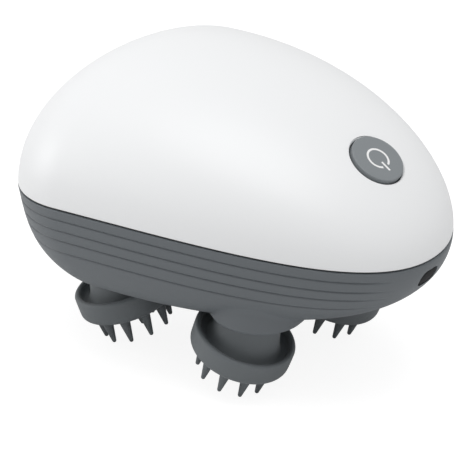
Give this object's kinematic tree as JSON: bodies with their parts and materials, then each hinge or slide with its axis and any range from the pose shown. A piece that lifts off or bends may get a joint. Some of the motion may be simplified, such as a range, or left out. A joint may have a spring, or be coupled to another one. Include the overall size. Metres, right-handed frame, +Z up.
{
  "type": "electric scalp massager",
  "caption": "Egg-shaped handheld massager with a white dome, a grooved grey underside and tilted fingered silicone heads that turn together on upright spindles.",
  "frame": {"origin": "middle of the length and width, at the height of the lowest fingertips, which rest on z = 0", "axes": "+X to the nose with the power button and charging port, +Y to the left side, +Z up along the spindles"},
  "size_m": [0.115, 0.089, 0.0766],
  "materials": {
    "shell_white": "fine satin moulding",
    "shell_grey": "fine satin moulding",
    "seal_rubber": "soft matt",
    "button_grey": "satin",
    "symbol_white": "satin",
    "plunger_black": "satin",
    "switch_metal": "pressed sheet",
    "board_green": "solder mask",
    "plug_rubber": "soft matt",
    "socket_metal": "tin plated",
    "tongue_black": "moulded",
    "nylon": "natural nylon",
    "steel": "ground",
    "can_metal": "drawn can",
    "cap_black": "moulded",
    "brass": "turned",
    "magnet_grey": "sintered ferrite",
    "cell_wrap": "shrink sleeve",
    "chip_black": "moulded",
    "lead_red": "insulated wire",
    "lead_black": "insulated wire",
    "lead_blue": "insulated wire",
    "lead_yellow": "insulated wire",
    "screw_steel": "zinc plated",
    "bronze": "sintered bronze",
    "shaft_seal_rubber": "soft matt",
    "silicone": "matt silicone",
    "hub_grey": "satin"
  },
  "bodies": {
    "housing": {"upper_shell": "shell_white", "lower_shell": "shell_grey", "shell_gasket": "seal_rubber", "push_switch": "switch_metal", "button_board": "board_green", "charging_socket": "socket_metal", "socket_tongue": "tongue_black", "charging_board": "board_green", "gearbox_plate": "nylon", "centre_axle": "steel", "reduction_axle": "steel", "motor_can": "can_metal", "motor_cap": "cap_black", "motor_terminals": "brass", "motor_magnets": "magnet_grey", "battery_cell": "cell_wrap", "battery_cradle": "cap_black", "main_board": "board_green", "controller_chip": "chip_black", "charging_chip": "chip_black", "battery_leads": "lead_red", "motor_leads": "lead_black", "button_leads": "lead_blue", "charging_leads": "lead_yellow", "shell_screws": "screw_steel", "plate_screws": "screw_steel", "motor_screws": "screw_steel", "board_screws": "screw_steel", "spindle_bush_front_right": "bronze", "spindle_bush_front_left": "bronze", "spindle_bush_rear_right": "bronze", "spindle_bush_rear_left": "bronze", "shaft_seal_front_right": "shaft_seal_rubber", "shaft_seal_front_left": "shaft_seal_rubber", "shaft_seal_rear_right": "shaft_seal_rubber", "shaft_seal_rear_left": "shaft_seal_rubber"},
    "button": {"power_button": "button_grey", "power_symbol": "symbol_white", "switch_plunger": "plunger_black"},
    "plug": {"port_plug": "plug_rubber"},
    "centre": {"centre_gear": "nylon"},
    "reduction": {"reduction_gear": "nylon"},
    "rotor": {"motor_shaft": "steel", "motor_pinion": "brass"},
    "head_front_right": {"silicone_head_front_right": "silicone", "head_hub_front_right": "hub_grey", "spindle_shaft_front_right": "steel", "spindle_gear_front_right": "nylon"},
    "head_front_left": {"silicone_head_front_left": "silicone", "head_hub_front_left": "hub_grey", "spindle_shaft_front_left": "steel", "spindle_gear_front_left": "nylon"},
    "head_rear_right": {"silicone_head_rear_right": "silicone", "head_hub_rear_right": "hub_grey", "spindle_shaft_rear_right": "steel", "spindle_gear_rear_right": "nylon"},
    "head_rear_left": {"silicone_head_rear_left": "silicone", "head_hub_rear_left": "hub_grey", "spindle_shaft_rear_left": "steel", "spindle_gear_rear_left": "nylon"}
  },
  "joints": [
    {"name": "button_press", "type": "slide", "parent": "housing", "child": "button", "axis": [-0.5094, 0, -0.8605], "range_m": [0, 0.0005], "stiffness_N_per_m": 1500, "springref_m": -0.0005},
    {"name": "plug_pull", "type": "slide", "parent": "housing", "child": "plug", "axis": [1, 0, 0], "range_m": [0, 0.008]},
    {"name": "centre_gear_spin", "type": "hinge", "parent": "housing", "child": "centre", "pos_m": [-0.0039, 0, 0.03117], "axis": [0, 0, 1], "continuous": true},
    {"name": "reduction_gear_spin", "type": "hinge", "parent": "housing", "child": "reduction", "pos_m": [-0.0319, 0, 0.03117], "axis": [0, 0, 1], "continuous": true},
    {"name": "motor_spin", "type": "hinge", "parent": "housing", "child": "rotor", "pos_m": [-0.0149, 0, 0.03917], "axis": [0, 0, 1], "continuous": true},
    {"name": "head_front_right_spin", "type": "hinge", "parent": "housing", "child": "head_front_right", "pos_m": [0.01987, -0.0199, 0.02527], "axis": [0, 0, 1], "continuous": true},
    {"name": "head_front_left_spin", "type": "hinge", "parent": "housing", "child": "head_front_left", "pos_m": [0.01987, 0.0199, 0.02527], "axis": [0, 0, 1], "continuous": true},
    {"name": "head_rear_right_spin", "type": "hinge", "parent": "housing", "child": "head_rear_right", "pos_m": [-0.02767, -0.0199, 0.02527], "axis": [0, 0, 1], "continuous": true},
    {"name": "head_rear_left_spin", "type": "hinge", "parent": "housing", "child": "head_rear_left", "pos_m": [-0.02767, 0.0199, 0.02527], "axis": [0, 0, 1], "continuous": true}
  ],
  "couplings": [
    {"joint": "reduction_gear_spin", "follows": "centre_gear_spin", "ratio": -3.6667},
    {"joint": "motor_spin", "follows": "centre_gear_spin", "ratio": 27.5},
    {"joint": "head_front_right_spin", "follows": "centre_gear_spin", "ratio": -2.4444},
    {"joint": "head_front_left_spin", "follows": "centre_gear_spin", "ratio": -2.4444},
    {"joint": "head_rear_right_spin", "follows": "centre_gear_spin", "ratio": -2.4444},
    {"joint": "head_rear_left_spin", "follows": "centre_gear_spin", "ratio": -2.4444}
  ]
}
